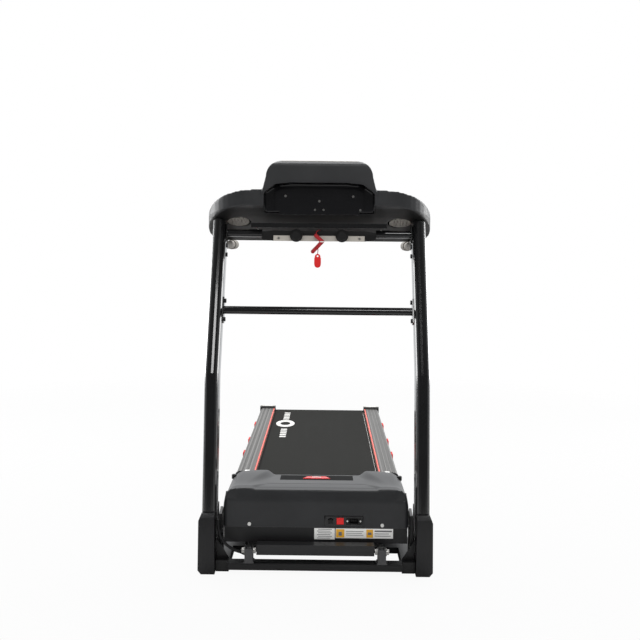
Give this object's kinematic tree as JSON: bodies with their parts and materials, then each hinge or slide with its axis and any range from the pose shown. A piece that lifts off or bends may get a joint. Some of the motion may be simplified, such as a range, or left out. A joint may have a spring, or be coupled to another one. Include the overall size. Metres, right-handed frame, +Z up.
{
  "type": "treadmill",
  "caption": "Folding motorised home treadmill with bent uprights, a winged console, a motor hood, side rails and a deck that folds up on a gas strut.",
  "frame": {"origin": "middle of the footprint, on the floor", "axes": "+X to the left of a runner who faces the console, +Y towards the end where the runner steps on, +Z up"},
  "size_m": [0.76, 1.64, 1.279],
  "materials": {
    "black_paint": "satin black powder coat",
    "grey_paint": "satin dark grey powder coat",
    "zinc": "zinc plated",
    "black_bolt": "black oxide",
    "black_plastic": "fine grained moulded plastic",
    "gloss_black": "gloss black plastic",
    "charcoal_plastic": "satin charcoal plastic",
    "rubber_black": "moulded rubber",
    "lens": "tinted display lens",
    "speaker_grey": "light perforated grille",
    "silver_plastic": "silver painted plastic",
    "grip_grey": "soft grey plastic",
    "green_plastic": "gloss",
    "red_plastic": "gloss red",
    "light_plastic": "matte",
    "red_cord": "braided cord",
    "steel": "turned steel",
    "chrome_rod": "polished",
    "board": "waxed fibreboard",
    "belt_rubber": "textured running belt",
    "rail_silver": "grey anodised, brushed along its length",
    "red_trim": "satin red",
    "red_rubber": "red elastomer",
    "motor_paint": "cast housing, painted",
    "heat_sink": "finned aluminium"
  },
  "bodies": {
    "base": {"base_crossbars": "black_paint", "base_rails": "black_paint", "base_feet": "rubber_black", "pivot_brackets": "grey_paint", "pivot_bolts": "zinc", "boot_left": "black_plastic", "boot_right": "black_plastic", "upright_mounts": "black_paint", "upright_left": "black_paint", "upright_right": "black_paint", "mid_crossbar": "black_paint", "frame_bolts": "black_bolt", "console_shell": "charcoal_plastic", "console_back_panel": "gloss_black", "console_face": "black_plastic", "display_lens": "lens", "speaker_grilles": "speaker_grey", "handlebar": "black_paint", "pod_housing": "gloss_black", "pod_plate": "silver_plastic", "console_screws": "black_bolt", "handrail_left": "grip_grey", "handrail_right": "grip_grey", "lanyard_cord": "red_cord", "lanyard_hank": "red_cord", "lanyard_clip": "red_plastic", "console_cable": "rubber_black"},
    "deck": {"deck_tubes": "black_paint", "deck_crossmembers": "grey_paint", "running_board": "board", "running_belt": "belt_rubber", "rail_left": "rail_silver", "rail_right": "rail_silver", "rail_trims": "red_trim", "rail_cushions": "red_rubber", "end_caps": "black_plastic", "rear_feet": "rubber_black", "hood_cover": "charcoal_plastic", "hood_lower_panel": "black_plastic", "hood_insert": "gloss_black", "hood_screws": "light_plastic", "drive_motor": "motor_paint", "drive_belt": "rubber_black", "controller_box": "heat_sink", "inlet_socket": "black_plastic"},
    "motor_shaft": {"motor_rotor": "steel"},
    "drive_roller": {"front_roller": "steel"},
    "tail_roller": {"rear_roller": "steel"},
    "power_rocker": {"rocker_switch": "red_plastic"},
    "breaker_push": {"breaker_button": "black_plastic"},
    "wheel_l": {"wheel_left": "rubber_black"},
    "wheel_r": {"wheel_right": "rubber_black"},
    "dial_l": {"dial_left": "gloss_black"},
    "dial_r": {"dial_right": "gloss_black"},
    "start_push": {"button_start": "green_plastic"},
    "stop_push": {"button_stop": "red_plastic"},
    "speed_keys": {"speed_rocker": "light_plastic"},
    "key": {"safety_key": "red_plastic"},
    "strut_tube": {"strut_cylinder": "black_paint"},
    "strut_piston": {"strut_rod": "chrome_rod"}
  },
  "joints": [
    {"name": "fold", "type": "hinge", "parent": "base", "child": "deck", "pos_m": [0, -0.8, 0.069], "axis": [1, 0, 0], "range_deg": [0, 57]},
    {"name": "strut_swing", "type": "hinge", "parent": "base", "child": "strut_tube", "pos_m": [0, -0.65, 0.055], "axis": [1, 0, 0], "range_deg": [0, 68]},
    {"name": "strut_stroke", "type": "slide", "parent": "strut_tube", "child": "strut_piston", "axis": [0, 0.9991, 0.0418], "range_m": [0, 0.097]},
    {"name": "drive_roller_spin", "type": "hinge", "parent": "deck", "child": "drive_roller", "pos_m": [0, -0.56, 0.1667], "axis": [1, 0, 0], "continuous": true},
    {"name": "tail_roller_spin", "type": "hinge", "parent": "deck", "child": "tail_roller", "pos_m": [0, 0.755, 0.1667], "axis": [1, 0, 0], "continuous": true},
    {"name": "motor_spin", "type": "hinge", "parent": "deck", "child": "motor_shaft", "pos_m": [-0.15, -0.665, 0.15], "axis": [1, 0, 0], "continuous": true},
    {"name": "power_rock", "type": "hinge", "parent": "deck", "child": "power_rocker", "pos_m": [0.0765, -0.743, 0.146], "axis": [1, 0, 0], "range_deg": [-12, 0]},
    {"name": "breaker_press", "type": "slide", "parent": "deck", "child": "breaker_push", "axis": [0, 1, 0], "range_m": [0, 0.002], "stiffness_N_per_m": 400, "springref_m": -0.003},
    {"name": "wheel_left_spin", "type": "hinge", "parent": "base", "child": "wheel_l", "pos_m": [-0.326, -0.655, 0.024], "axis": [1, 0, 0], "continuous": true},
    {"name": "wheel_right_spin", "type": "hinge", "parent": "base", "child": "wheel_r", "pos_m": [0.326, -0.655, 0.024], "axis": [1, 0, 0], "continuous": true},
    {"name": "dial_left_turn", "type": "hinge", "parent": "base", "child": "dial_l", "pos_m": [-0.075, -0.575, 1.04], "axis": [0, -1, 0], "range_deg": [-150, 150]},
    {"name": "dial_right_turn", "type": "hinge", "parent": "base", "child": "dial_r", "pos_m": [0.075, -0.575, 1.04], "axis": [0, -1, 0], "range_deg": [-150, 150]},
    {"name": "start_press", "type": "slide", "parent": "base", "child": "start_push", "axis": [0, -0.4067, -0.9135], "range_m": [0, 0.002], "stiffness_N_per_m": 400, "springref_m": -0.003},
    {"name": "stop_press", "type": "slide", "parent": "base", "child": "stop_push", "axis": [0, -0.4067, -0.9135], "range_m": [0, 0.002], "stiffness_N_per_m": 400, "springref_m": -0.003},
    {"name": "speed_rock", "type": "hinge", "parent": "base", "child": "speed_keys", "pos_m": [0, -0.43, 1.0935], "axis": [0, 0.9135, -0.4067], "range_deg": [-3, 3], "stiffness_Nm_per_rad": 0.3},
    {"name": "key_pull", "type": "slide", "parent": "base", "child": "key", "axis": [0, 1, 0], "range_m": [0, 0.01]}
  ],
  "couplings": [
    {"joint": "strut_swing", "follows": "fold", "ratio": 1.1815},
    {"joint": "strut_stroke", "follows": "fold", "m_per_rad": 0.095958},
    {"joint": "tail_roller_spin", "follows": "drive_roller_spin", "ratio": 1},
    {"joint": "motor_spin", "follows": "drive_roller_spin", "ratio": 2.4706}
  ]
}
